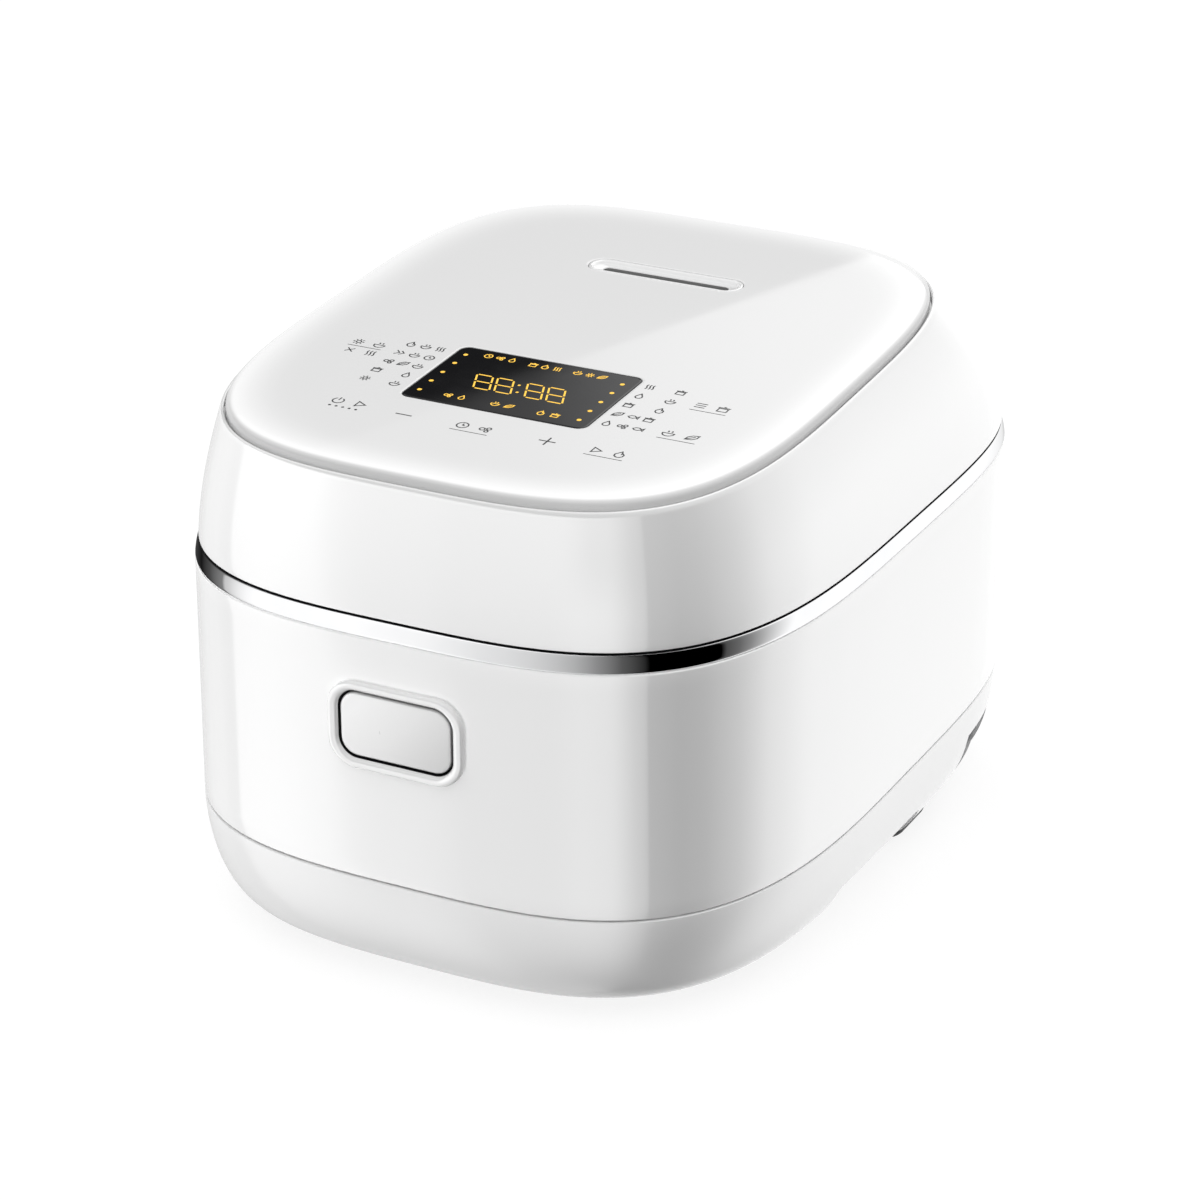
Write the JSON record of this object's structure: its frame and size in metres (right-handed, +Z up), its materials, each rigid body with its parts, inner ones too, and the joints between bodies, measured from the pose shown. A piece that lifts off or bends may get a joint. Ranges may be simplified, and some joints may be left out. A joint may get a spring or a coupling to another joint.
{
  "type": "rice cooker",
  "caption": "Rounded-box induction rice cooker with hinged lid, sloping touch panel with display, steam vent, bright band at the lid line, push-button latch and lift-out pot.",
  "frame": {"origin": "centre of the outline, hinge barrel and button bezel included, on the surface the feet stand on", "axes": "+Z up, -Y the front with the release button, +X the cooker's side with the mains inlet"},
  "size_m": [0.2692, 0.3466, 0.2294],
  "materials": {
    "white_gloss": "glossy moulded white plastic",
    "white_satin": "white plastic, fine satin moulding",
    "panel_white": "white back-printed clear top panel, mirror gloss",
    "display_black": "black smoked display window, mirror gloss",
    "chrome": "mirror chrome plating on plastic",
    "silver_satin": "satin silver paint",
    "rubber_grey": "matt dark rubber",
    "steel": "brushed stainless steel",
    "aluminium": "plain aluminium",
    "pot_coating": "cast aluminium pot with dark non-stick coating",
    "liner_grey": "light grey moulded plastic",
    "seal_grey": "soft pale silicone",
    "black_plastic": "black moulded plastic",
    "copper_coil": "enamelled copper wire winding",
    "ferrite": "sintered ferrite",
    "pcb_green": "glass-epoxy circuit board",
    "brass_pin": "plain brass"
  },
  "bodies": {
    "housing": {"base_shell": "white_satin", "foot_1": "rubber_grey", "foot_2": "rubber_grey", "foot_3": "rubber_grey", "foot_4": "rubber_grey", "base_screw_1": "steel", "base_screw_2": "steel", "base_screw_3": "steel", "base_screw_4": "steel", "body_shell": "white_gloss", "chrome_band": "chrome", "top_deck": "liner_grey", "button_bezel": "white_gloss", "button_spring": "steel", "latch_bracket": "liner_grey", "latch_pin": "steel", "coil_former": "black_plastic", "heat_shield": "aluminium", "induction_coil": "copper_coil", "ferrite_bar_1": "ferrite", "ferrite_bar_2": "ferrite", "ferrite_bar_3": "ferrite", "ferrite_bar_4": "ferrite", "sensor_holder": "black_plastic", "sensor_spring": "steel", "inner_pot": "pot_coating", "power_board": "pcb_green", "heatsink": "aluminium", "fan_frame": "black_plastic", "ac_inlet": "black_plastic", "inlet_pin_1": "brass_pin", "inlet_pin_2": "brass_pin", "inlet_pin_3": "brass_pin", "hinge_bracket": "white_satin", "hinge_pin": "steel", "hinge_spring": "steel"},
    "lid": {"lid_shell": "white_gloss", "top_panel": "panel_white", "display_window": "display_black", "display_board": "pcb_green", "display_module": "black_plastic", "steam_well": "liner_grey", "lid_liner": "liner_grey", "lid_heater_plate": "aluminium", "inner_lid_plate": "steel", "lid_gasket": "seal_grey", "steam_seal": "seal_grey", "plate_clip_left": "liner_grey", "plate_clip_right": "liner_grey", "lid_striker": "steel", "lid_hinge_arm": "white_satin"},
    "button": {"release_button": "silver_satin"},
    "latch": {"latch_lever": "silver_satin"},
    "sensor": {"pot_sensor": "aluminium"},
    "fan": {"fan_rotor": "black_plastic"},
    "vent_cap": {"steam_cap": "white_gloss"}
  },
  "joints": [
    {"name": "lid_hinge", "type": "hinge", "parent": "housing", "child": "lid", "pos_m": [0, 0.1681, 0.1589], "axis": [-1, 0, 0], "range_deg": [0, 85], "deforming": ["hinge_spring"]},
    {"name": "button_press", "type": "slide", "parent": "housing", "child": "button", "axis": [0, 1, 0], "range_m": [0, 0.0035], "stiffness_N_per_m": 350, "springref_m": -0.002, "deforming": ["button_spring"]},
    {"name": "latch_pivot", "type": "hinge", "parent": "housing", "child": "latch", "pos_m": [0, -0.1504, 0.1312], "axis": [1, 0, 0], "range_deg": [0, 14.5]},
    {"name": "sensor_press", "type": "slide", "parent": "housing", "child": "sensor", "axis": [0, 0, -1], "range_m": [0, 0.0025], "stiffness_N_per_m": 600, "springref_m": -0.003, "deforming": ["sensor_spring"]},
    {"name": "fan_spin", "type": "hinge", "parent": "housing", "child": "fan", "pos_m": [-0.034, 0.1206, 0.0196], "axis": [0, 0, 1], "continuous": true},
    {"name": "vent_cap_lift", "type": "slide", "parent": "lid", "child": "vent_cap", "axis": [0, 0, 1], "range_m": [0, 0.03]}
  ],
  "couplings": [
    {"joint": "latch_pivot", "follows": "button_press", "rad_per_m": 72}
  ]
}
